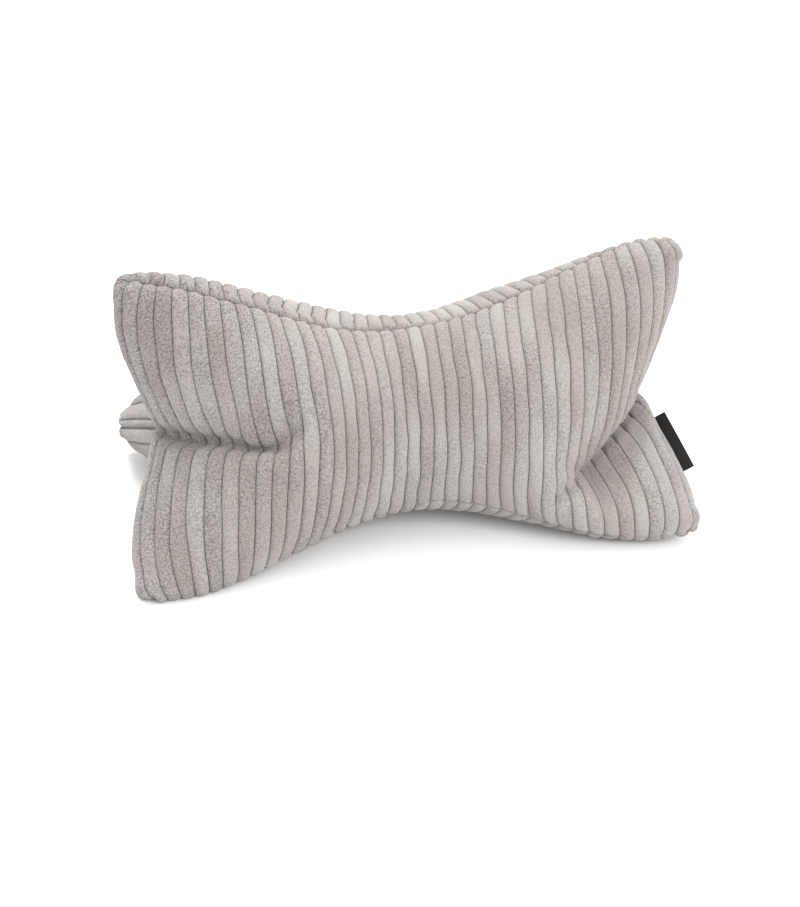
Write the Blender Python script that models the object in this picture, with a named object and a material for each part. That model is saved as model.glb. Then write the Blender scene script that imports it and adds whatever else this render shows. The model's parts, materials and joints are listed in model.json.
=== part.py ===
"""Bone-shaped neck pillow with three lobes at each end.

Three equal panels are joined along three long seams and stuffed.  X runs along
the pillow, +Z is up and the origin is on the floor under the middle.  The
pillow stands on its two lower lobes at each end, and the third lobe points up.
"""

import math

import bmesh
import bpy
from mathutils import Vector

# Driving dimensions, metres
TIP_X = 0.211           # middle of the pillow to the end of a lobe
NOTCH_X = 0.168         # middle to the point where all the seams of an end meet
WAIST_SEAM_R = 0.075    # axis to a seam at the waist
LOBE_SEAM_R = 0.127     # axis to a seam at the widest part of a lobe
TIP_CORNER = 0.032      # rounding of a lobe's corner
WAIST_PANEL_R = 0.065   # axis to the middle of a panel at the waist
SEAM_DRAW = 0.0022      # how far the stitching pulls a seam below its panels
SEAM_DRAW_SHARE = 0.1   # and at most this share of the section's width
AXIS_Z = 0.082          # height of the axis above the floor
LEAST_WIDTH = 0.0003    # a section narrower than this counts as this wide

# The lobes, by the angle of each one's seam around the axis, seen from +X
LOBES = {
    "top": 90.0,
    "rear": 330.0,
    "front": 210.0,
}

# The panels, each from one lobe's seam to the next
PANELS = (
    ("front", "top", "front"),
    ("base", "front", "rear"),
    ("rear", "rear", "top"),
)

# The middle line of a panel, which stays low at the waist, swells and dives into the
# crease between two lobes.  The creases at -X are the longer ones.
CREASES = (
    # end   low until x   swells at x   to radius
    (-1,    0.044,        0.076,        0.128),
    (1,     0.048,        0.088,        0.128),
)

# How a section leaves the middle of its panel, and how far it reaches from each edge
SECTIONS = (
    # share   slope, deg   inner reach   outer reach
    (0.00,    -30.0,       0.36,         0.36),
    (0.30,    -24.0,       0.34,         0.30),
    (0.42,      2.0,       0.30,         0.28),
    (0.57,     12.0,       0.25,         0.25),
    (0.72,     16.0,       0.24,         0.24),
    (1.00,     20.0,       0.30,         0.28),
)

# How finely the lines and the surface are divided
EDGE_STEPS = 60         # a lobe's outline along its length,
CORNER_STEPS = 20       # round its corner
END_STEPS = 40          # and down its end
MIDDLE_STEPS = 80       # a panel's middle line
COLUMNS = 26            # the surface, from the waist to the end point
ROWS = 12               # and from the middle of a panel to its seam

# Powers that shape the lines and space the points on them
END_ROUND = 1.2         # a lobe's end seam, from 1 for a quarter sine to fuller
CREASE_LEAD = 0.85      # under 1, columns reach further down the crease than the seam
ROW_LEAD = 0.8          # under 1, rows crowd towards the seam

# The tag, a folded tape caught in the end seam of the front lobe at +X
TAG_FROM_R = 0.016      # its two ends, measured from the axis
TAG_TO_R = 0.058
TAG_SEAT = 0.0004       # clearance over the seam's groove
TAG_OUT = 0.0080        # how far it stands out of the seam
TAG_THICK = 0.0012
TAG_STEPS = 8

CLOTH_COLOUR = (0.42, 0.38, 0.36, 1.0)
TAG_COLOUR = (0.012, 0.012, 0.013, 1.0)


def ease(share):
    """A smooth step from 0 to 1."""
    return 0.5 - 0.5 * math.cos(math.pi * share)


def bezier(p0, p1, p2, p3, t):
    """A point on a cubic curve."""
    s = 1.0 - t
    return s * s * s * p0 + 3 * s * s * t * p1 + 3 * s * t * t * p2 + t * t * t * p3


def between(table, share, column):
    """A column of a table whose rows are sorted by their first value."""
    for low, high in zip(table, table[1:]):
        if share <= high[0]:
            part = (share - low[0]) / (high[0] - low[0])
            return low[column] + part * (high[column] - low[column])
    return table[-1][column]


def end_edge(radius):
    """X of the lobe's end seam at a distance from the axis."""
    share = radius / (LOBE_SEAM_R - TIP_CORNER)
    return NOTCH_X + (TIP_X - NOTCH_X) * math.sin(0.5 * math.pi * share) ** END_ROUND


def lobe_outline():
    """Points (x, radius) of one lobe's seam, from the waist round to the end point."""
    points = []
    corner_x = TIP_X - TIP_CORNER
    for step in range(EDGE_STEPS):
        share = step / EDGE_STEPS
        radius = WAIST_SEAM_R + (LOBE_SEAM_R - WAIST_SEAM_R) * ease(share)
        points.append(Vector((corner_x * share, radius)))
    for step in range(CORNER_STEPS):
        angle = 0.5 * math.pi * step / CORNER_STEPS
        points.append(Vector((corner_x + TIP_CORNER * math.sin(angle),
                              LOBE_SEAM_R - TIP_CORNER + TIP_CORNER * math.cos(angle))))
    for step in range(END_STEPS + 1):
        radius = (LOBE_SEAM_R - TIP_CORNER) * (1.0 - step / END_STEPS)
        points.append(Vector((end_edge(radius), radius)))
    return points


def panel_middle(low_x, swell_x, swell_r):
    """Points (x, radius) of a panel's middle line, from the waist down its crease."""
    start = Vector((0.0, WAIST_PANEL_R))
    along = Vector((low_x, WAIST_PANEL_R))
    swell = Vector((swell_x, swell_r))
    end = Vector((NOTCH_X, 0.0))
    return [bezier(start, along, swell, end, step / MIDDLE_STEPS)
            for step in range(MIDDLE_STEPS + 1)]


def spread(points, shares):
    """Points at the given shares of a line's length."""
    lengths = [0.0]
    for a, b in zip(points, points[1:]):
        lengths.append(lengths[-1] + (b - a).length)
    found = []
    index = 0
    for share in shares:
        target = share * lengths[-1]
        while index < len(points) - 2 and lengths[index + 1] < target:
            index += 1
        part = (target - lengths[index]) / (lengths[index + 1] - lengths[index])
        found.append(points[index].lerp(points[index + 1], min(1.0, part)))
    return found


def lobe_sections(crease):
    """Sections of half a panel in the lobe's own axes: x, radius and sideways."""
    shares = [step / COLUMNS for step in range(COLUMNS + 1)]
    seams = spread(lobe_outline(), shares)
    middles = spread(panel_middle(*crease), [share ** CREASE_LEAD for share in shares])
    sections = []
    for share, seam, middle in zip(shares, seams, middles):
        slope = math.radians(between(SECTIONS, share, 1))
        inner = Vector((middle.x, 0.5 * middle.y, 0.5 * math.sqrt(3.0) * middle.y))
        outer = Vector((seam.x, seam.y, 0.0))
        width = (outer - inner).length
        lean = (outer - inner).x / max(width, LEAST_WIDTH)
        inner_reach = between(SECTIONS, share, 2) * width
        outer_reach = between(SECTIONS, share, 3) * width
        from_inner = inner + inner_reach * Vector((lean, math.cos(slope), math.sin(slope)))
        from_outer = outer + outer_reach * Vector((0.0, 0.0, 1.0))
        section = [bezier(inner, from_inner, from_outer, outer, ease(row / ROWS) ** ROW_LEAD)
                   for row in range(ROWS)]
        drawn = outer.lerp(inner, min(SEAM_DRAW / max(width, LEAST_WIDTH), SEAM_DRAW_SHARE))
        drawn.z = 0.0
        section.append(drawn)
        sections.append(section)
    return sections


def in_place(point, lobe, side):
    """A point of a lobe in the pillow's frame; side is +1 or -1 about the lobe's seam."""
    angle = math.radians(LOBES[lobe])
    out = Vector((0.0, math.cos(angle), math.sin(angle)))
    across = Vector((0.0, -math.sin(angle), math.cos(angle)))
    place = out * point.y + across * (side * point.z)
    return Vector((point.x, place.y, max(0.0, place.z + AXIS_Z)))


def finish(name, mesh, colour, roughness):
    """Put a mesh into the scene with a material of its own."""
    material = bpy.data.materials.new(name + "_material")
    material.use_nodes = True
    surface = material.node_tree.nodes["Principled BSDF"]
    surface.inputs["Base Color"].default_value = colour
    surface.inputs["Roughness"].default_value = roughness
    surface.inputs["Metallic"].default_value = 0.0
    mesh.materials.append(material)
    thing = bpy.data.objects.new(name, mesh)
    bpy.context.collection.objects.link(thing)
    return thing


def make_body():
    """The stuffed pillow, one closed solid of its three sewn panels."""
    sections = {end: lobe_sections(crease) for end, *crease in CREASES}
    mesh = bmesh.new()
    corners = {}

    def corner(panel, lobe, side, end, column, row):
        """One vertex, shared wherever two halves or two panels meet."""
        if column == COLUMNS:
            key = ("end", end)
        elif row == ROWS:
            key = ("seam", lobe, column, end if column else 0)
        elif row == 0:
            key = ("middle", panel, column, end if column else 0)
        else:
            key = (panel, lobe, column, row, end if column else 0)
        if key not in corners:
            point = sections[end][column][row].copy()
            point.x *= end
            corners[key] = mesh.verts.new(in_place(point, lobe, side))
        return corners[key]

    for panel, first, second in PANELS:
        for lobe, side in ((first, 1), (second, -1)):
            for end in sections:
                for column in range(COLUMNS):
                    for row in range(ROWS):
                        ring = [
                            corner(panel, lobe, side, end, column, row),
                            corner(panel, lobe, side, end, column + 1, row),
                            corner(panel, lobe, side, end, column + 1, row + 1),
                            corner(panel, lobe, side, end, column, row + 1),
                        ]
                        kept = list(dict.fromkeys(ring))
                        if len(kept) > 2:
                            mesh.faces.new(kept if side * end > 0 else kept[::-1])
    bmesh.ops.recalc_face_normals(mesh, faces=mesh.faces)
    data = bpy.data.meshes.new("pillow_body")
    mesh.to_mesh(data)
    mesh.free()
    data.shade_smooth()
    return finish("pillow_body", data, CLOTH_COLOUR, 0.9)


def make_tag():
    """The bare tag, a strip that follows the end seam of the front lobe at +X."""
    step_r = (TAG_TO_R - TAG_FROM_R) / TAG_STEPS
    mesh = bmesh.new()
    rings = []
    for step in range(TAG_STEPS + 1):
        radius = TAG_FROM_R + step * step_r
        here = Vector((end_edge(radius), radius))
        ahead = Vector((end_edge(radius + 0.5 * step_r), radius + 0.5 * step_r))
        along = (ahead - here).normalized()
        out = Vector((along.y, -along.x))
        ring = []
        for distance, side in ((TAG_SEAT, 1), (TAG_OUT, 1), (TAG_OUT, -1), (TAG_SEAT, -1)):
            place = here + out * distance
            point = Vector((place.x, place.y, 0.5 * TAG_THICK * side))
            ring.append(mesh.verts.new(in_place(point, "front", 1)))
        rings.append(ring)
    for low, high in zip(rings, rings[1:]):
        for a in range(4):
            b = (a + 1) % 4
            mesh.faces.new((low[a], low[b], high[b], high[a]))
    mesh.faces.new(rings[0][::-1])
    mesh.faces.new(rings[-1])
    bmesh.ops.recalc_face_normals(mesh, faces=mesh.faces)
    data = bpy.data.meshes.new("tag")
    mesh.to_mesh(data)
    mesh.free()
    return finish("tag", data, TAG_COLOUR, 0.7)


def main():
    for thing in list(bpy.data.objects):
        bpy.data.objects.remove(thing)
    make_body()
    make_tag()


main()
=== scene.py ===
"""Looks of the corduroy neck pillow.

Three equal panels of wide-wale corduroy are cut flat, sewn along three long seams
and across the two ends, filled, and settled on the floor by a small cloth solver.
The wales, the seam grooves and the nap are then made on the settled cloth, and a
bare folded tag is caught in one end seam.  Metres, +Z up, X along the pillow, and
the rear is +Y.
"""
import json
import math
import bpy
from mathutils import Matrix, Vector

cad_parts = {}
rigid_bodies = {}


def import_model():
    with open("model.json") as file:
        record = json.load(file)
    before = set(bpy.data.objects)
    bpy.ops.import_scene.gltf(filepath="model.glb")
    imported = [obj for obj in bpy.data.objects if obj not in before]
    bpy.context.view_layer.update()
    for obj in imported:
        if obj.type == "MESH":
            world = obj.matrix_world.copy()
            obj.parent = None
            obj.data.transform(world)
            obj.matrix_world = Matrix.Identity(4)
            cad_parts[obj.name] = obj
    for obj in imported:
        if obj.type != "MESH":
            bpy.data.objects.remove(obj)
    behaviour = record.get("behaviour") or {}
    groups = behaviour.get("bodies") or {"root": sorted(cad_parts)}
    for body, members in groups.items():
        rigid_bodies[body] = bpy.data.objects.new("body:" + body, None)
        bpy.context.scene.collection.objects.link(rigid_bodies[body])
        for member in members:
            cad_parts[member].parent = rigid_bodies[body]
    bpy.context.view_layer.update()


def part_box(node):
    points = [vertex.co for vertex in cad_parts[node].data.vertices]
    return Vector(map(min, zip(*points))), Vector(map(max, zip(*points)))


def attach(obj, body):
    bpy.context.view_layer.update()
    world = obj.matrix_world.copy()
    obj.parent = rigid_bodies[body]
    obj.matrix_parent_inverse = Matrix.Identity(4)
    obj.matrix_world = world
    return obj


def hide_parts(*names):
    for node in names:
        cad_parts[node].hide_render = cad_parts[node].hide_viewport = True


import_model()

from types import SimpleNamespace

import bpy
import numpy as np
from mathutils import Vector

BODY_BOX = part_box("pillow_body")

# ---------------------------------------------------------------- the flat cut
HALF_LENGTH = 0.2008        # middle of a panel to the ends of its long edges
WAIST_HALF = 0.0700         # half the width at the waist
LOBE_HALVES = (0.1350, 0.1270)          # and at the lobes on the left and on the right
LOBE_RISES = (1.0, 1.12)    # how late the edge rises to them, 1 for a cosine
CORNER = 0.0150             # rounding of a lobe's corner
CORNER_FULL = 0.93          # how far round it turns, 1 for a quarter circle
WIDEST_AT = 0.98            # where the long edge stops rising, of the half length
BOWS = (0.025, 0.019)       # how far each end bows out on the panel's middle line
BOW_FROM = 0.06             # and from where along the panel the lines across it bow too
BOW_POWER = 4.0             # 2 for a round bow, more for one that is full up to the corners

# Each panel's first seam, by the angle of that lobe about the axis, seen from +X.
# A panel's second seam is the next panel's first.
PANELS = ("front", "base", "rear")
LOBES = ("top", "front", "rear")
LOBE_ANGLES = (90.0, 210.0, 330.0)
TURN = 120.0                # from one lobe to the next
AXIS = np.array((0.0, 0.0, 0.083))      # the pillow's axis, above the floor

# Where each lobe's seam leans to, in degrees, at these places along the panel
LEAN_PLACES = (-0.200, -0.100, -0.045, 0.0, 0.100, 0.200)
LEANS = {
    "top": (97.5, 103.5, 101.0, 98.0, 90.0, 90.0),
    "front": (213.0, 231.0, 227.0, 214.0, 211.0, 213.0),
    "rear": (330.0, 332.0, 331.0, 330.0, 330.0, 332.0),
}
LEAN_PULL = 4.0             # how firmly the filling holds them there
WAIST_DROP = 0.0010         # how far the filling's middle hangs below the axis at the waist
DROP_PULL = 40.0            # and how firmly it is held there, per metre

# The creases between the lobes.  A fold starts on the panel at from_x and runs to the
# end point.  Its bottom goes from the radius and the angle at its inner end to the
# axis, and it may lie off the panel's middle line, by a share of the half width.  The
# nip is how much of FOLD_NIP and FOLD_DEPTH it gets.
CREASES = {
    # panel, end      from_x  radius  angle, inner and outer  off middle  nip
    ("front", -1): (0.076, 0.067, 158.0, 175.0, 0.02, 0.30),
    ("front", 1): (0.106, 0.072, 213.0, 187.0, -0.60, 1.0),
    ("base", -1): (0.050, 0.066, 270.0, 270.0, 0.00, 0.3),
    ("base", 1): (0.050, 0.066, 270.0, 270.0, 0.00, 0.3),
    ("rear", -1): (0.050, 0.066, 30.0, 30.0, 0.00, 0.3),
    ("rear", 1): (0.050, 0.066, 30.0, 30.0, 0.00, 0.3),
}
CREASE_OFF_POWER = 1.2      # how it comes back to the middle line
CREASE_PULL = 150.0         # how firmly the fold is held, per metre off its line
CREASE_WIDTH = 0.07         # how far from the fold that reaches, of the half width
CREASE_GAP = 0.0015         # half the space kept between two touching lobes
CREASE_GAP_LEFT = 0.3       # and how much of that is left between the finished wales
CREASE_FREE = 0.03          # at the inner end the lobes may still cross the fold by this
CREASE_FREE_TO = 0.3        # and by less up to this share of the fold's length
CREASE_FIRM_AT = 0.25       # from which share of its length the fold is held fully
ON_FOLD = 0.25              # a vertex this close to the fold, in rows, is in its bottom
END_POINTS = (-0.185, 0.181)            # where the three seams of each end meet
END_PULL = 2000.0           # and how firmly they are held there, per metre
TIP_X = 0.2115              # the lobes are pushed out to here
TIP_PULL = 3000.0           # how firmly, per metre
TIP_FROM = 0.6              # from this share of the half width to the corner

# ------------------------------------------------------------------ the solver
START_RADIUS = 0.058        # first shape: from the axis to a panel's middle at the waist
START_PUFF = 0.28           # how far a half panel bulges, of its width
START_LENGTH = 0.97         # and how long it is, of the flat panel
COLUMNS, ROWS = 40, 24      # the coarse net of one panel; the fine one has twice as many
STEPS, FINE_STEPS = 500, 140            # steps of the coarse net and of the fine one
PASSES = 16                 # corrections of the links in each step
STEP_TIME = 0.01
DAMPING = 0.95              # share of its speed the cloth keeps at each step
PRESSURE = 1.5
WEIGHT = 0.01
FLOOR_GRIP = 0.5            # share of its sliding speed it keeps on the floor
ON_FLOOR = 1e-6             # it is on the floor below this height
SHEAR = 0.4                 # stiffness of the diagonals, against 1 along the threads
BEND_ALONG, BEND_ACROSS = 0.05, 0.12    # stiffness against bending
SEAM_BEND = 0.6             # stiffness of the fold over a seam
SEAM_FLAT = 0.97            # and how flat it wants to lie
END_BEND = 0.05             # the same over the end seams
FINE_FORCE = 0.2            # the fine net gives more, so it is filled this gently
LEAST_LENGTH = 1e-9         # a link is taken to be no shorter
LEAST_RADIUS = 1e-6         # and a vertex no nearer to the axis

# ------------------------------------------------------------------- the wales
# Where each long seam lies on the settled cloth: how far past the ridge of its lobe
# towards the panel before it, at these places along the pillow
SEAM_PLACES = (-0.200, -0.178, -0.130, -0.060, -0.015, 0.012, 0.050, 0.110, 0.165, 0.200)
SEAM_SHIFTS = {
    "top": (0.0, -0.005, -0.010, -0.009, -0.004, -0.001, 0.001, 0.005, 0.004, 0.0),
    "front": (0.0, -0.007, -0.011, -0.012, -0.007, 0.004, 0.001, 0.0, 0.0, 0.0),
    "rear": (0.0, 0.0, 0.0, 0.0, 0.0, 0.0, 0.0, 0.0, 0.0, 0.0),
}
SEAM_MARGIN = 8             # rows of the next panel within reach of a shifted seam
SEED = 7
WALES = 40                  # along the panel's long edge
WALE_HEIGHT = 0.0031
WALE_PHASES = (-0.47, -0.38, -0.22, 0.0, 0.22, 0.38, 0.47, 0.5)    # its columns, in wales
WALE_POWER = 2.7            # 2 for round wales, more for flat tops
WALE_SHIFT = {"front": 0.0, "base": 0.0, "rear": 0.5}   # along the panel, in wales
WALE_WANDER = 0.00040       # how far a groove strays from its line
WANDER_WAVES = (3, 0.05, 0.16)          # how many waves, the shortest and the longest
WANDER_SPAN = 0.15          # half the length of cloth they are drawn over
WANDER_END = 0.01           # the grooves this near the end stray less
WALE_SWELL = 0.05           # how much a wale's height varies, along it and from its neighbours
SWELL_WAVES = (3, 0.014, 0.05)
WALE_END = 0.0055           # length of a wale's rounded end at a seam
WALE_END_ROUND = 0.6        # how much sooner its flanks fall than its middle
WALE_END_LEFT = 0.30        # and how much of its height is left at a long seam
SEAM_DEPTH = 0.0009         # how far the stitching lies below the grooves
SEAM_REACH = 0.0030         # and how far from it the cloth dips
SEAM_HALF = 0.0003          # half the width of the stitched line
FOLD_NIP = 0.85             # share of a wale's height lost at the bottom of a fold
FOLD_DEPTH = 0.0028         # how much further the fold is pulled in
FOLD_REACH = 0.0070         # how far from the fold both of these reach
FOLD_UPPER = 0.45           # and how much of them the cloth beside the first seam gets
SEAM_SHADE = 0.5            # how pale the painted shade on the stitched line is, from 0 as dark as a groove to 1
WALE_APART = 2.0            # how far apart the wales lie in the nap's third direction
PANEL_APART = 0.7           # and the panels
FINE_ROWS = 98              # rows of vertices across a panel
EDGE_ROWS = (0.0007, 0.0016, 0.0028, 0.0042, 0.0060)    # the last ones, from the seam
FLOOR_GAP = 0.0002

# ------------------------------------------------------------------ the colours
PILE_BROWN = (0.224, 0.197, 0.186, 1.0)
PILE_GREY = (0.266, 0.250, 0.236, 1.0)
GROOVE_SHADE = 0.82          # painted shade: the colour at the bottom of a groove, against the top of a wale
PIT_SHADE = 0.46             # painted shade: how much darker the pits between the tufts are
TIP_HIGHLIGHT = 0.30            # and painted highlight: how much lighter their tips
TAPE_BLACK = (0.004, 0.004, 0.0045)

# The noises of the materials
NOISES = {
    # name     scale   detail  roughness  curl  stretch along each axis
    "broad": (14.0, 2.0, 0.5, 0.0, (1.0, 0.8, 0.0)),
    "strand": (24.0, 2.0, 0.5, 0.0, (0.6, 0.45, 1.0)),
    "patches": (30.0, 2.0, 0.5, 0.0, (0.8, 0.5, 1.0)),
    "tufts": (900.0, 1.5, 0.6, 0.6, (1.0, 0.85, 1.0)),
    "fibres": (1700.0, 2.0, 0.5, 0.0, None),
    "weave": (1800.0, 2.0, 0.5, 0.0, None),
}

# What these values run from and to, and what that becomes
TONE_RANGE = (0.83, 1.17, 0.0, 1.0)     # two noises added, to brown and grey
TUFT_STRENGTH_LEFT = (-0.20, -0.04, 0.30, 0.0)         # X, to how much stronger the tufts are, in bump and in painted highlight and shade
TUFT_STRENGTH_RANGE = (0.40, 0.80, 0.40, 1.0)  # patches, to how strong the tufts' bumps and painted highlights and shade are
# the tufts, to their painted pit shade and to their painted tip highlight
PIT_RANGE = (0.36, 0.50, 1.0, 0.0)
TIP_RANGE = (0.52, 0.68, 0.0, 1.0)
# painted shade: how far out of the grooves, to how dark the colour is painted, in the grooves and
# along the stitched seams
GROOVE_SHADE_RANGE = (0.0, 0.55, GROOVE_SHADE, 1.0)
WEAVE_RANGE = (0.3, 0.7, 0.7, 1.6)      # the tape's weave, to its brightness

# How strong the bumps are, and how deep
TUFT_BUMP = (0.9, 0.0036)
FIBRE_BUMP = (0.6, 0.0003)
WEAVE_BUMP = (0.4, 0.0002)

CORDUROY_SHADER = {
    "Roughness": 0.95,
    "Specular IOR Level": 0.1,
    "Sheen Weight": 0.3,
    "Sheen Roughness": 0.5,
    "Sheen Tint": (1.0, 0.97, 0.94, 1.0),
}
TAPE_SHADER = {"Roughness": 0.6, "Specular IOR Level": 0.25}
FLOOR_SHADER = {
    "Base Color": (0.85, 0.85, 0.85, 1.0),
    "Roughness": 0.9,
    "Specular IOR Level": 0.1,
}


def ease(low, high, value):
    """A smooth step from 0 at low to 1 at high."""
    share = np.clip((value - low) / (high - low), 0.0, 1.0)
    return share * share * (3.0 - 2.0 * share)


def unit(degrees):
    """Unit vectors across the pillow at the given angles about its axis."""
    angle = np.radians(degrees)
    return np.stack([np.zeros_like(angle), np.cos(angle), np.sin(angle)], axis=-1)


def half_width(x):
    """Half the width of the flat panel, x from its middle."""
    lobe = np.where(x < 0.0, *LOBE_HALVES)
    rises = np.where(x < 0.0, *LOBE_RISES)
    x = np.abs(x)
    share = np.minimum(1.0, x / (WIDEST_AT * HALF_LENGTH)) ** rises
    width = WAIST_HALF + (lobe - WAIST_HALF) * 0.5 * (1.0 - np.cos(np.pi * share))
    into = np.clip(x - (HALF_LENGTH - CORNER), 0.0, CORNER)
    return width - CORNER + np.sqrt(CORNER ** 2 - (CORNER_FULL * into) ** 2)


def bowed(x, f):
    """Flat X on the cloth of a line that leaves the long edges at x."""
    share = np.clip((np.abs(x) - BOW_FROM) / (HALF_LENGTH - BOW_FROM), 0.0, 1.0)
    bow = np.where(x < 0.0, *BOWS)
    return x + np.sign(x) * bow * share ** 2 * (1.0 - np.abs(f) ** BOW_POWER)


# ------------------------------------------------------------------ sewn net
def make_net(columns, rows):
    """Vertices, links and triangles of the three panels sewn together."""
    middle = rows // 2
    panel, i, j = np.indices((3, columns + 1, rows + 1))
    on_end = (i == 0) | (i == columns)
    to_next = (j == 0) | (on_end & (j < middle))
    at_point = on_end & (j == middle)
    panel = np.where(to_next, (panel + 1) % 3, panel)
    j = np.where(to_next, rows - j, j)
    panel = np.where(at_point, 0, panel)
    code = (panel * (columns + 1) + i) * (rows + 1) + j
    _, ids = np.unique(code, return_inverse=True)
    ids = ids.reshape(3, columns + 1, rows + 1)

    x = np.linspace(-HALF_LENGTH, HALF_LENGTH, columns + 1)
    f = np.linspace(-1.0, 1.0, rows + 1)
    flat = np.zeros((columns + 1, rows + 1, 2))
    flat[..., 0] = bowed(x[:, None], f)
    flat[..., 1] = half_width(x)[:, None] * f

    first, second, rest, stiff = [], [], [], []

    def link(a, b, length, k):
        first.append(a.ravel())
        second.append(b.ravel())
        rest.append(np.broadcast_to(length, a.shape).ravel())
        stiff.append(np.full(a.size, k))

    for di, dj, k in ((1, 0, 1.0), (0, 1, 1.0), (1, 1, SHEAR), (1, -1, SHEAR),
                      (2, 0, BEND_ALONG), (0, 2, BEND_ACROSS)):
        a_rows = slice(0, rows + 1 - dj) if dj >= 0 else slice(-dj, rows + 1)
        b_rows = slice(dj, rows + 1) if dj >= 0 else slice(0, rows + 1 + dj)
        a = ids[:, :columns + 1 - di, a_rows]
        b = ids[:, di:, b_rows]
        length = np.linalg.norm(flat[:columns + 1 - di, a_rows] - flat[di:, b_rows], axis=-1)
        link(a, b, length[None], k)
    spread = 2.0 * half_width(x) / rows
    for lobe in range(3):
        before = (lobe + 2) % 3
        for step, k in ((1, SEAM_BEND), (2, 0.5 * SEAM_BEND)):
            link(ids[lobe, :, rows - step], ids[before, :, step], 2 * step * spread * SEAM_FLAT, k)
        for end in (1, columns - 1):
            link(ids[lobe, end, middle:], ids[before, end, middle::-1],
                 2 * (x[1] - x[0]) * SEAM_FLAT, END_BEND)
    first, second = np.concatenate(first), np.concatenate(second)
    rest, stiff = np.concatenate(rest), np.concatenate(stiff)
    kept = first != second

    quads = np.stack([ids[:, :-1, :-1], ids[:, 1:, :-1], ids[:, 1:, 1:], ids[:, :-1, 1:]], -1)
    quads = quads.reshape(-1, 4)
    tris = np.concatenate([quads[:, [0, 1, 2]], quads[:, [0, 2, 3]]])
    whole = (tris[:, 0] != tris[:, 1]) & (tris[:, 1] != tris[:, 2]) & (tris[:, 0] != tris[:, 2])
    net = SimpleNamespace(columns=columns, rows=rows, ids=ids, x=x, f=f, flat=flat)
    net.first, net.second = first[kept], second[kept]
    net.rest, net.stiff = rest[kept], stiff[kept]
    net.tris = tris[whole]
    net.count = int(ids.max()) + 1
    net.patch = 3 * float(np.sum(2 * half_width(x))) * (x[1] - x[0]) / net.count
    return net


def first_shape(net):
    """A rough three-lobed start for the coarse net."""
    co = np.zeros((net.count, 3))
    for panel in range(3):
        middle = LOBE_ANGLES[panel] + 0.5 * TURN
        for side in (0, 1):
            lobe = LOBE_ANGLES[panel] + side * TURN
            to_lobe, to_middle = unit(lobe), unit(middle)
            sideways = to_middle - to_lobe * to_middle.dot(to_lobe)
            sideways /= np.linalg.norm(sideways)
            rows = net.f >= 0 if side == 0 else net.f <= 0
            share = np.abs(net.f[rows])[None, :, None]
            along = np.minimum(1.0, np.abs(net.x) / HALF_LENGTH)[:, None, None]
            inner = to_middle * START_RADIUS * np.sqrt(np.maximum(0.0, 1.0 - along ** 2))
            outer = to_lobe * half_width(net.x)[:, None, None]
            width = np.linalg.norm(outer - inner, axis=-1, keepdims=True)
            puff = START_PUFF * width * np.sin(np.pi * share) * (along < 1.0)
            point = inner * (1 - share) + outer * share + sideways * puff
            point[..., 0] = net.x[:, None] * START_LENGTH
            point[..., 2] += AXIS[2]
            co[net.ids[panel][:, rows]] = point
    return co


def area_normals(co, tris):
    """Each vertex's share of the surface, as a vector along its normal."""
    a, b, c = co[tris[:, 0]], co[tris[:, 1]], co[tris[:, 2]]
    area = np.cross(b - a, c - a) / 6.0
    out = np.zeros_like(co)
    for corner in range(3):
        for k in range(3):
            out[:, k] += np.bincount(tris[:, corner], area[:, k], len(co))
    return out


def crease_facts(panel, x):
    """Along a panel: the fold's angle and radius, its place on the cloth, how far the
    lobes may cross it, how firmly it is held and how much the wales are nipped in it."""
    sides = []
    for end in (-1, 1):
        from_x, radius, inner, outer, off, nip = CREASES[PANELS[panel], end]
        share = np.clip((end * x - from_x) / (HALF_LENGTH - from_x), 0.0, 1.0)
        firm = ease(0.0, CREASE_FIRM_AT, share)
        sides.append((inner + (outer - inner) * share,
                      radius * (1.0 - share),
                      off * (1.0 - share) ** CREASE_OFF_POWER,
                      CREASE_FREE * (1.0 - ease(0.0, CREASE_FREE_TO, share)),
                      firm,
                      nip * firm))
    return [np.where(x < 0, a, b) for a, b in zip(*sides)]


def crease_planes(panel, x, f):
    """For points of a panel: the plane of the fold, the side they stay on, and how
    far they may cross it."""
    angle, _, fold, free, _, _ = crease_facts(panel, x)
    side = np.where(f > fold, 1.0, -1.0)
    return unit(angle - 90.0) * side[..., None], free


def net_creases(net):
    """The fold planes for every vertex inside a panel, apart from a fold's bottom."""
    inside = (slice(1, -1), slice(1, -1))
    which, normals, free = [], [], []
    for panel in range(3):
        x = np.broadcast_to(net.x[:, None], net.flat.shape[:2])[inside]
        f = np.broadcast_to(net.f[None, :], net.flat.shape[:2])[inside]
        normal, loose = crease_planes(panel, x, f)
        on_fold = np.abs(f - crease_facts(panel, x)[2]) < 2.0 * ON_FOLD / net.rows
        which.append(net.ids[panel][inside][~on_fold])
        normals.append(normal[~on_fold])
        free.append(loose[~on_fold])
    return np.concatenate(which), np.concatenate(normals), np.concatenate(free)


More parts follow.
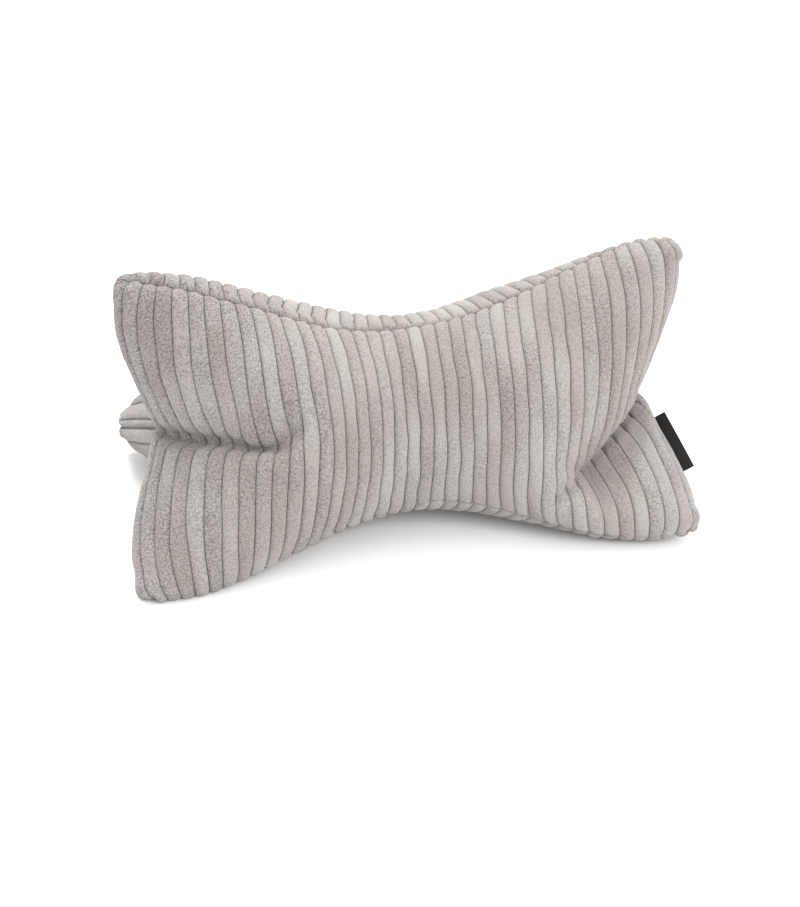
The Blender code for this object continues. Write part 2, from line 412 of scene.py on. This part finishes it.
def filling_force(net):
    """A function that gives the pull of the filling: each lobe kept at its lean, the
    folds drawn in, the waist held up, and the tips and end points held in place."""
    folds = []
    for panel in range(3):
        angle, radius, fold, _, firm, _ = crease_facts(panel, net.x)
        near = (net.f[None, :] - fold[:, None]) / CREASE_WIDTH
        pull = CREASE_PULL * firm[:, None] * np.exp(-near ** 2)
        folds.append((net.ids[panel][:, 1:-1], pull[:, 1:-1, None],
                      AXIS + unit(angle)[:, None] * radius[:, None, None]))
    targets = [np.interp(net.x, LEAN_PLACES, LEANS[lobe]) for lobe in LOBES]
    share = np.clip(np.abs(net.f), 0.0, 1.0)
    middle = net.rows // 2
    points = net.ids[0, [0, -1], middle]
    ends = AXIS + np.array([(x, 0.0, 0.0) for x in END_POINTS])
    tips = net.ids[:, [0, -1]]
    tip_pull = TIP_PULL * ease(TIP_FROM, 1.0, share)
    drop = WAIST_DROP * np.cos(0.5 * np.pi * net.x / HALF_LENGTH)

    def force(co, effort):
        acc = np.zeros_like(co)
        for lobe in range(3):
            before = (lobe + 2) % 3
            seam = co[net.ids[lobe, :, -1]] - AXIS
            angle = np.degrees(np.arctan2(seam[:, 2], seam[:, 1]))
            error = np.radians((targets[lobe] - angle + 180.0) % 360.0 - 180.0)
            for ids, part in ((net.ids[lobe][:, middle:], share[middle:]),
                              (net.ids[before][:, :middle + 1], share[:middle + 1])):
                rel = co[ids] - AXIS
                radius = np.maximum(np.hypot(rel[..., 1], rel[..., 2]), LEAST_RADIUS)
                pull = LEAN_PULL * error[:, None] * part[None, :] ** 2
                acc[ids, 1] = -rel[..., 2] / radius * pull
                acc[ids, 2] = rel[..., 1] / radius * pull
        for ids, pull, bottom in folds:
            acc[ids] += pull * (bottom - co[ids]) * (0, 1, 1)
        centre = AXIS[2] - drop - co[net.ids, 2].mean(axis=(0, 2))
        acc[net.ids, 2] += DROP_PULL * centre[None, :, None]
        acc *= effort
        for side, x in ((0, -TIP_X), (1, TIP_X)):
            acc[tips[:, side], 0] += tip_pull * (x - co[tips[:, side], 0])
        acc[points] += END_PULL * (ends - co[points])
        return acc

    return force


def settle(net, co, steps, effort=1.0):
    """Fill the sewn panels and let them come to rest on the floor."""
    speed = np.zeros_like(co)
    a, b, n = net.first, net.second, net.count
    share = 1.0 / (np.bincount(a, net.stiff, n) + np.bincount(b, net.stiff, n))
    which, normals, free = net_creases(net)
    filling = filling_force(net)
    half_stiff = 0.5 * net.stiff
    for _ in range(steps):
        acc = area_normals(co, net.tris) * (PRESSURE / net.patch)
        acc[:, 2] -= WEIGHT
        acc = effort * acc + filling(co, effort)
        speed = (speed + acc * STEP_TIME) * DAMPING
        new = co + speed * STEP_TIME
        for _ in range(PASSES):
            gap = new[b] - new[a]
            length = np.sqrt(np.einsum("ij,ij->i", gap, gap))
            change = half_stiff * (length - net.rest) / np.maximum(length, LEAST_LENGTH)
            gap *= change[:, None]
            for k in range(3):
                moved = np.bincount(a, gap[:, k], n) - np.bincount(b, gap[:, k], n)
                new[:, k] += moved * share
            inside = ((new[which] - AXIS) * normals).sum(axis=1) + free
            short = np.flatnonzero(inside < CREASE_GAP)
            new[which[short]] += (CREASE_GAP - inside[short])[:, None] * normals[short]
            np.maximum(new[:, 2], 0.0, out=new[:, 2])
        speed = (new - co) / STEP_TIME
        speed[new[:, 2] <= ON_FLOOR, :2] *= FLOOR_GRIP
        co = new
    return co


def spline_weights(t):
    """Weights of the four points around a share t of a smooth curve."""
    return 0.5 * np.stack([-t + 2 * t * t - t ** 3, 2 - 5 * t * t + 3 * t ** 3,
                           t + 4 * t * t - 3 * t ** 3, -t * t + t ** 3])


def sample(net, values, panel, u, v):
    """Smooth values at fractional columns u and rows v of a panel, which run on over
    its long seams onto the panels beside it."""
    after, before = net.ids[(panel + 1) % 3], net.ids[(panel + 2) % 3]
    grid = values[np.concatenate([after[:, net.rows - SEAM_MARGIN:-1], net.ids[panel],
                                  before[:, 1:SEAM_MARGIN + 1]], axis=1)]
    wide = np.pad(grid, ((1, 1), (0, 0), (0, 0)), mode="reflect", reflect_type="odd")
    column = np.clip(np.floor(u).astype(int), 0, net.columns - 1)
    row = np.floor(v).astype(int)
    across, along = spline_weights(u - column), spline_weights(v - row)
    row = row + SEAM_MARGIN - 1
    total = np.zeros(u.shape + (values.shape[1],))
    for i in range(4):
        for j in range(4):
            total += (across[i] * along[j])[..., None] * wide[column + i, row + j]
    return total


def refine(coarse, co, fine):
    """The coarse net's shape on the fine net."""
    u, v = np.meshgrid(np.linspace(0, coarse.columns, fine.columns + 1),
                       np.linspace(0, coarse.rows, fine.rows + 1), indexing="ij")
    out = np.zeros((fine.count, 3))
    for panel in range(3):
        out[fine.ids[panel]] = sample(coarse, co, panel, u, v)
    return out


def settled_cloth():
    """The fine net, its settled shape and its normals, as long as the CAD body."""
    coarse = make_net(COLUMNS, ROWS)
    net = make_net(2 * COLUMNS, 2 * ROWS)
    co = settle(coarse, first_shape(coarse), STEPS)
    co = refine(coarse, co, net)
    co = settle(net, co, FINE_STEPS, FINE_FORCE)
    low, high = co.min(axis=0), co.max(axis=0)
    scale = (BODY_BOX[1].x - BODY_BOX[0].x) / (high[0] - low[0])
    co = (co - (0.5 * (low[0] + high[0]), 0.0, low[2])) * scale
    normals = area_normals(co, net.tris)
    normals /= np.linalg.norm(normals, axis=1, keepdims=True)
    net.axis = (AXIS - (0.0, 0.0, low[2])) * scale
    return net, co, normals


# ------------------------------------------------------------------ the corduroy
def fine_rows(reach):
    """Where the rows lie across the cloth, up to reach on either side of its middle."""
    edge = np.array(EDGE_ROWS)
    body = (reach - edge[-1]) * np.linspace(-1.0, 1.0, FINE_ROWS - 2 * len(edge))
    top = reach - np.concatenate([edge[-2::-1], [SEAM_HALF]])
    return np.concatenate([-top[..., ::-1], body, top], axis=-1)


def wale_columns(panel):
    """Flat X of every column of a panel, its phase across its wale and that wale."""
    pitch = 2 * HALF_LENGTH / WALES
    shift = WALE_SHIFT[PANELS[panel]]
    x, phase, wale = [-HALF_LENGTH + SEAM_HALF], [0.5], [-1]
    for k in range(-1, WALES + 1):
        for t in WALE_PHASES:
            place = -HALF_LENGTH + (k + 0.5 + shift + t) * pitch
            if abs(place) < HALF_LENGTH - 2 * SEAM_HALF:
                x.append(place)
                phase.append(t)
                wale.append(k)
    x.append(HALF_LENGTH - SEAM_HALF)
    phase.append(0.5)
    wale.append(WALES)
    return np.array(x), np.array(phase), np.array(wale)


def slow_noise(rng, values, waves, low, high):
    """A smooth random curve through values, with the given range of wavelengths."""
    total = np.zeros_like(values)
    for _ in range(waves):
        length = rng.uniform(low, high)
        total += np.sin(2 * np.pi * (values / length + rng.random()))
    return total / math.sqrt(waves)


def seam_shift(lobe, x):
    """How far a lobe's seam lies past the lobe's ridge, at x along the cloth."""
    return np.interp(x, SEAM_PLACES, SEAM_SHIFTS[LOBES[lobe]])


def rounded(share):
    """A quarter circle that rises from 0 at 0 to 1 at 1."""
    share = np.clip(share, 0.0, 1.0)
    return np.sqrt(1.0 - (1.0 - share) ** 2)


def cover_panel(net, co, normals, panel, rng):
    """The fine surface of one panel: places, flat coordinates and how far each vertex
    is out of the grooves, which sets the painted shade of the grooves and the seams."""
    x0, phase, wale = wale_columns(panel)
    width = half_width(x0)
    first = width + seam_shift(panel, x0)
    second = width - seam_shift((panel + 1) % 3, x0)
    reach = 0.5 * (first + second)[:, None]
    centre = 0.5 * (first - second)[:, None]
    y = centre + fine_rows(reach)
    x = np.repeat(x0[:, None], y.shape[1], axis=1)
    # every groove wanders a little, and takes along the halves of the wales beside it
    wander = np.zeros_like(x)
    for k in range(-1, WALES + 2):
        along = np.linspace(-WANDER_SPAN, WANDER_SPAN, y.shape[1])
        strand = slow_noise(rng, along, *WANDER_WAVES)
        here = wale == k
        wander[here] += (0.5 - phase[here])[:, None] * strand[None] * WALE_WANDER
        there = wale == k - 1
        wander[there] += (0.5 + phase[there])[:, None] * strand[None] * WALE_WANDER
    from_end = HALF_LENGTH - np.abs(x)
    x = x + wander * ease(0.0, WANDER_END, from_end)
    f = y / width[:, None]
    u = (x + HALF_LENGTH) / (2 * HALF_LENGTH) * net.columns
    v = (f + 1) / 2 * net.rows
    place = sample(net, co, panel, u, v)
    normal = sample(net, normals, panel, u, v)
    normal /= np.linalg.norm(normal, axis=-1, keepdims=True)

    t = np.abs(2 * phase)[:, None]
    profile = np.sqrt(np.maximum(0.0, 1.0 - t ** WALE_POWER))
    lag = WALE_END * WALE_END_ROUND * (1.0 - np.sqrt(1.0 - t ** 2))
    to_seam = reach - np.abs(y - centre)
    to_end = np.maximum(0.0, from_end)
    nearest = np.minimum(to_seam, to_end)
    rise = WALE_END_LEFT + (1.0 - WALE_END_LEFT) * rounded((to_seam - lag) / WALE_END)
    rise = np.minimum(rise, rounded(to_end / WALE_END))
    swell = np.zeros_like(x)
    for k in range(-1, WALES + 1):
        here = wale == k
        swell[here] = slow_noise(rng, y[here], *SWELL_WAVES) * WALE_SWELL
        swell[here] += rng.normal(0, WALE_SWELL)
    draw = np.clip(1.0 - nearest / SEAM_REACH, 0.0, 1.0) ** 2
    _, _, fold, _, _, nip = crease_facts(panel, x)
    to_fold = np.abs(f - fold) * width[:, None] - lag
    nip = nip * (1.0 - rounded(to_fold / FOLD_REACH)) * np.where(f < fold, 1.0, FOLD_UPPER)
    height = (WALE_HEIGHT * (profile * rise) * (1.0 + swell) * (1.0 - FOLD_NIP * nip)
              - SEAM_DEPTH * draw - FOLD_DEPTH * nip)
    place = place + normal * height[..., None]

    side, free = crease_planes(panel, x, f)
    inside = ((place - net.axis) * side).sum(axis=-1) + free
    short = np.clip(CREASE_GAP_LEFT * CREASE_GAP - inside, 0.0, None)
    place = place + short[..., None] * side
    place[..., 2] = np.maximum(place[..., 2], FLOOR_GAP)
    strand = PANEL_APART * panel + WALE_APART * rng.random(WALES + 2)[wale + 1]
    cloth = np.stack([x, y, np.broadcast_to(strand[:, None], x.shape)], axis=-1)
    # the last value is painted shade: low down in the grooves and, by SEAM_SHADE, along the
    # stitched seams
    return place, cloth, profile * (SEAM_SHADE + (1.0 - SEAM_SHADE) * rise)


def zip_rows(a, b, where_a, where_b):
    """Triangles between two rows of vertices that run side by side."""
    faces = []
    i = j = 0
    while i < len(a) - 1 or j < len(b) - 1:
        if j == len(b) - 1 or (i < len(a) - 1 and where_a[i + 1] <= where_b[j + 1]):
            faces.append((a[i], b[j], a[i + 1]))
            i += 1
        else:
            faces.append((a[i], b[j], b[j + 1]))
            j += 1
    return faces


def make_pillow():
    """The corduroy cushion as one closed mesh, with the net it was made on."""
    net, co, normals = settled_cloth()
    rng = np.random.default_rng(SEED)
    places, cloths, groove_shades, grids, quads = [], [], [], [], []
    start = 0
    for panel in range(3):
        place, cloth, groove_shade = cover_panel(net, co, normals, panel, rng)
        grid = start + np.arange(groove_shade.size).reshape(groove_shade.shape)
        start += groove_shade.size
        places.append(place.reshape(-1, 3))
        cloths.append(cloth.reshape(-1, 3))
        groove_shades.append(groove_shade.ravel())
        grids.append(grid)
        quads.append(np.stack([grid[:-1, :-1], grid[1:, :-1], grid[1:, 1:], grid[:-1, 1:]],
                              axis=-1).reshape(-1, 4))
    faces = [tuple(q) for q in np.concatenate(quads).tolist()]
    cloth = np.concatenate(cloths)
    middle = grids[0].shape[1] // 2
    for panel in range(3):
        one, other = grids[panel], grids[(panel + 2) % 3]
        near, far = one[:, -1], other[:, 0]
        faces += zip_rows(far.tolist(), near.tolist(), cloth[far, 0], cloth[near, 0])
        for end, turn in ((0, False), (-1, True)):
            top = one[end, middle:].tolist()
            bottom = other[end, middle::-1].tolist()
            # the shorter side ends in its last vertex, which makes the corner a triangle
            top += top[-1:] * (len(bottom) - len(top))
            for m in range(len(bottom) - 1):
                ring = tuple(dict.fromkeys((top[m], top[m + 1], bottom[m + 1], bottom[m])))
                faces.append(ring[::-1] if turn else ring)
    for end, turn in ((0, False), (-1, True)):
        ring = [int(grids[panel][end, middle]) for panel in range(3)]
        faces.append(tuple(ring if turn else ring[::-1]))
    mesh = bpy.data.meshes.new("pillow")
    mesh.from_pydata(np.concatenate(places).tolist(), [], faces)
    mesh.validate()
    # cloth holds the flat coordinates; the second attribute is painted shade, 0 in the grooves and
    # seams and 1 on the wale tops
    for name, kind, key, values in (("cloth", "FLOAT_VECTOR", "vector", cloth),
                                    ("groove_shade", "FLOAT", "value", np.concatenate(groove_shades))):
        made = mesh.attributes.new(name, kind, "POINT")
        made.data.foreach_set(key, np.asarray(values, np.float32).ravel())
    mesh.shade_smooth()
    pillow = bpy.data.objects.new("pillow", mesh)
    bpy.context.collection.objects.link(pillow)
    mesh.materials.append(corduroy())
    return pillow, net, co, normals


# ------------------------------------------------------------------ the tag
TAG_FROM, TAG_TO = 0.030, 0.081     # along the end seam, from the end point
TAG_OUT = 0.0118                    # how far it stands out
TAG_WAY = (0.90, 0.0, 0.44)         # and which way, as near as the seam lets it
TAG_TUCK = 0.0012                   # and how far it is caught inside the seam
TAG_LAYER = 0.00045                 # thickness of the tape
TAG_SPACE = 0.0002                  # between its two layers
TAG_WAVE = 0.0008                   # how far its fold strays to either side
TAG_WAVE_TURNS = 2.2                # half waves of that along it
TAG_WAVE_START = 0.4                # and where in the wave it begins, in radians
TAG_AHEAD = 0.002                   # how far ahead the seam's direction is read
TAG_STEPS = 30                      # along it,
TAG_FACE_STEPS = 4                  # across one face
TAG_FOLD_STEPS = 6                  # and round the fold


def make_tag(net, co, normals):
    """The bare woven tag: a folded tape standing out of the front lobe's end seam."""
    seam = net.ids[1, -1, net.rows // 2:]
    line, out = co[seam], normals[seam]
    length = np.concatenate([[0.0], np.cumsum(np.linalg.norm(np.diff(line, axis=0), axis=1))])
    verts, faces, rings = [], [], []
    for step in range(TAG_STEPS + 1):
        share = step / TAG_STEPS
        at = TAG_FROM + (TAG_TO - TAG_FROM) * share
        base = Vector([np.interp(at, length, line[:, k]) for k in range(3)])
        outward = Vector([np.interp(at, length, out[:, k]) for k in range(3)]).normalized()
        ahead = Vector([np.interp(at + TAG_AHEAD, length, line[:, k]) for k in range(3)])
        along = (ahead - base).normalized()
        up = Vector(TAG_WAY)
        up = (up - along * up.dot(along)).normalized()
        side = along.cross(up).normalized()
        lean = TAG_WAVE * math.sin(TAG_WAVE_TURNS * share * math.pi + TAG_WAVE_START)
        ring = tag_section(base - outward * SEAM_DEPTH, up, side, lean)
        rings.append(range(len(verts), len(verts) + len(ring)))
        verts += ring
    for low, high in zip(rings, rings[1:]):
        n = len(low)
        for k in range(n):
            m = (k + 1) % n
            faces.append((low[k], high[k], high[m], low[m]))
    faces.append(tuple(rings[0]))
    faces.append(tuple(rings[-1])[::-1])
    mesh = bpy.data.meshes.new("end_tag")
    mesh.from_pydata(verts, [], faces)
    mesh.validate()
    mesh.shade_smooth()
    tag = bpy.data.objects.new("end_tag", mesh)
    bpy.context.collection.objects.link(tag)
    mesh.materials.append(tape())
    return tag


def tag_section(base, up, side, lean):
    """The folded tape cut across: up one face, round the fold and down the other, and
    back the same way inside."""
    half = TAG_LAYER + 0.5 * TAG_SPACE
    inner = 0.5 * TAG_SPACE
    straight = TAG_OUT - half
    heights = [-TAG_TUCK + (straight + TAG_TUCK) * k / TAG_FACE_STEPS
               for k in range(TAG_FACE_STEPS)]
    outside, inside = [], []
    for radius, out in ((half, outside), (inner, inside)):
        out += [(height, radius) for height in heights]
        for k in range(TAG_FOLD_STEPS + 1):
            angle = math.pi * k / TAG_FOLD_STEPS
            out.append((straight + radius * math.sin(angle), radius * math.cos(angle)))
        out += [(height, -radius) for height in reversed(heights)]
    ring = outside + inside[::-1]
    return [base + up * a + side * (b + lean * max(0.0, a) / TAG_OUT) for a, b in ring]


# ------------------------------------------------------------------ materials
def new_material(name, settings):
    """A new material, its node tree and its shader with these settings."""
    material = bpy.data.materials.new(name)
    material.use_nodes = True
    tree = material.node_tree
    shader = tree.nodes["Principled BSDF"]
    for key, value in settings.items():
        shader.inputs[key].default_value = value
    return material, tree, shader


def add(tree, kind, **settings):
    """A new node with these properties."""
    node = tree.nodes.new("ShaderNode" + kind)
    for key, value in settings.items():
        setattr(node, key, value)
    return node


def noise(tree, vector, name):
    """One of the NOISES over the cloth."""
    scale, detail, roughness, curl, stretch = NOISES[name]
    if stretch:
        mapping = add(tree, "Mapping")
        mapping.inputs["Scale"].default_value = stretch
        tree.links.new(vector, mapping.inputs["Vector"])
        vector = mapping.outputs["Vector"]
    texture = add(tree, "TexNoise")
    texture.inputs["Scale"].default_value = scale
    texture.inputs["Detail"].default_value = detail
    texture.inputs["Roughness"].default_value = roughness
    texture.inputs["Distortion"].default_value = curl
    tree.links.new(vector, texture.inputs["Vector"])
    return texture.outputs["Fac"]


def remap(tree, value, numbers):
    """A value's range, mapped onto another and clamped."""
    node = add(tree, "MapRange")
    for key, number in zip(("From Min", "From Max", "To Min", "To Max"), numbers):
        node.inputs[key].default_value = number
    tree.links.new(value, node.inputs["Value"])
    return node.outputs["Result"]


def maths(tree, operation, a, b):
    """Two values, or a value and a number, put together."""
    node = add(tree, "Math", operation=operation)
    for k, value in enumerate((a, b)):
        if isinstance(value, (int, float)):
            node.inputs[k].default_value = value
        else:
            tree.links.new(value, node.inputs[k])
    return node.outputs[0]


def bump(tree, height, strength, distance):
    """A bump of this height."""
    node = add(tree, "Bump")
    node.inputs["Distance"].default_value = distance
    if isinstance(strength, (int, float)):
        node.inputs["Strength"].default_value = strength
    else:
        tree.links.new(strength, node.inputs["Strength"])
    tree.links.new(height, node.inputs["Height"])
    return node


def corduroy():
    """Plush cotton corduroy: soft wales with a patchy nap, painted highlights on the tuft tips and
    painted shade in their pits, the grooves and the seams.
    """
    material, tree, shader = new_material("corduroy_cloth", CORDUROY_SHADER)
    link = tree.links.new
    cloth = add(tree, "Attribute", attribute_name="cloth").outputs["Vector"]
    groove_shade = add(tree, "Attribute", attribute_name="groove_shade").outputs["Fac"]
    parts = add(tree, "SeparateXYZ")
    link(cloth, parts.inputs["Vector"])

    both = maths(tree, "ADD", noise(tree, cloth, "broad"), noise(tree, cloth, "strand"))
    colour = add(tree, "Mix", data_type="RGBA")
    colour.inputs["A"].default_value = PILE_BROWN
    colour.inputs["B"].default_value = PILE_GREY
    link(remap(tree, both, TONE_RANGE), colour.inputs["Factor"])

    # the tufts are stronger on the left and in patches elsewhere, in bump and in painted highlight
    # and shade
    left = remap(tree, parts.outputs["X"], TUFT_STRENGTH_LEFT)
    patches = maths(tree, "ADD", noise(tree, cloth, "patches"), left)
    tuft_strength = remap(tree, patches, TUFT_STRENGTH_RANGE)

    tufts = noise(tree, cloth, "tufts")
    # painted shade in the pits between the tufts and painted highlight on their tips
    pit_shade = maths(tree, "MULTIPLY", remap(tree, tufts, PIT_RANGE), PIT_SHADE)
    tips = maths(tree, "MULTIPLY", remap(tree, tufts, TIP_RANGE), TIP_HIGHLIGHT)
    tuft_light_and_shade = maths(tree, "MULTIPLY", maths(tree, "SUBTRACT", tips, pit_shade), tuft_strength)
    # and painted shade down in the grooves and along the seams
    shade = maths(tree, "MULTIPLY", maths(tree, "ADD", tuft_light_and_shade, 1.0),
                  remap(tree, groove_shade, GROOVE_SHADE_RANGE))
    shaded = add(tree, "VectorMath", operation="SCALE")
    link(colour.outputs["Result"], shaded.inputs[0])
    link(shade, shaded.inputs["Scale"])
    link(shaded.outputs["Vector"], shader.inputs["Base Color"])

    strength, depth = TUFT_BUMP
    coarse = bump(tree, tufts, maths(tree, "MULTIPLY", tuft_strength, strength), depth)
    fine = bump(tree, noise(tree, cloth, "fibres"), *FIBRE_BUMP)
    link(coarse.outputs["Normal"], fine.inputs["Normal"])
    link(fine.outputs["Normal"], shader.inputs["Normal"])
    return material


def tape():
    """Black woven tape with a fine, uneven weave."""
    material, tree, shader = new_material("woven_tape", TAPE_SHADER)
    link = tree.links.new
    weave = noise(tree, add(tree, "TexCoord").outputs["Object"], "weave")
    colour = add(tree, "VectorMath", operation="SCALE")
    colour.inputs[0].default_value = TAPE_BLACK
    link(remap(tree, weave, WEAVE_RANGE), colour.inputs["Scale"])
    link(colour.outputs["Vector"], shader.inputs["Base Color"])
    link(bump(tree, weave, *WEAVE_BUMP).outputs["Normal"], shader.inputs["Normal"])
    return material


# ------------------------------------------------------------------ the studio
CAMERA_AZIMUTH = -9.8       # degrees round from the front
CAMERA_ELEVATION = 29.9
CAMERA_DISTANCE = 1.6
CAMERA_LENS = 82.0          # millimetres
CAMERA_SENSOR = 36.0
CAMERA_TARGET = (0.0, 0.0, 0.0417)
FLOOR_REACH = 8.0           # from the middle of the floor to its sides
ROOM_LIGHT = 1.60
LIGHT_AIM = (0.0, 0.0, 0.08)
KEY_PLACE = (2.0, -2.9, 2.2)
KEY_SIZE = 1.6
KEY_POWER = 90.0
BACK_PLACE = (-0.6, 1.3, 3.4)
BACK_SIZE = 2.0
BACK_POWER = 130.0


def make_camera():
    """The camera at the photo's angle."""
    azimuth, elevation = math.radians(CAMERA_AZIMUTH), math.radians(CAMERA_ELEVATION)
    back = Vector((math.sin(azimuth) * math.cos(elevation),
                   -math.cos(azimuth) * math.cos(elevation),
                   math.sin(elevation)))
    data = bpy.data.cameras.new("camera")
    data.lens = CAMERA_LENS
    data.sensor_width = CAMERA_SENSOR
    camera = bpy.data.objects.new("camera", data)
    camera.location = Vector(CAMERA_TARGET) + back * CAMERA_DISTANCE
    camera.rotation_mode = "QUATERNION"
    camera.rotation_quaternion = (-back).to_track_quat("-Z", "Y")
    bpy.context.collection.objects.link(camera)
    bpy.context.scene.camera = camera


def make_light(name, place, aim, size, energy):
    """A round soft lamp turned to where it aims."""
    data = bpy.data.lights.new(name, "AREA")
    data.shape = "DISK"
    data.size = size
    data.energy = energy
    light = bpy.data.objects.new(name, data)
    light.location = place
    light.rotation_mode = "QUATERNION"
    light.rotation_quaternion = (Vector(aim) - Vector(place)).to_track_quat("-Z", "Y")
    bpy.context.collection.objects.link(light)


def make_studio():
    """A pale floor, a white room and two soft lamps."""
    mesh = bpy.data.meshes.new("floor")
    corners = [(x * FLOOR_REACH, y * FLOOR_REACH, 0.0)
               for x, y in ((-1, -1), (1, -1), (1, 1), (-1, 1))]
    mesh.from_pydata(corners, [], [(0, 1, 2, 3)])
    floor = bpy.data.objects.new("floor", mesh)
    bpy.context.collection.objects.link(floor)
    mesh.materials.append(new_material("pale_floor", FLOOR_SHADER)[0])

    world = bpy.data.worlds.new("white_room")
    world.use_nodes = True
    background = world.node_tree.nodes["Background"]
    background.inputs["Color"].default_value = (1.0, 1.0, 1.0, 1.0)
    background.inputs["Strength"].default_value = ROOM_LIGHT
    bpy.context.scene.world = world
    make_light("key", KEY_PLACE, LIGHT_AIM, KEY_SIZE, KEY_POWER)
    make_light("back", BACK_PLACE, LIGHT_AIM, BACK_SIZE, BACK_POWER)
    bpy.context.scene.view_settings.view_transform = "Standard"


def main():
    """The studio and the two pieces, each fixed to the root body in place of its CAD part."""
    make_camera()
    make_studio()
    pillow, net, co, normals = make_pillow()
    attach(pillow, "root")
    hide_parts("pillow_body")
    tag = make_tag(net, co, normals)
    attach(tag, "root")
    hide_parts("tag")


main()
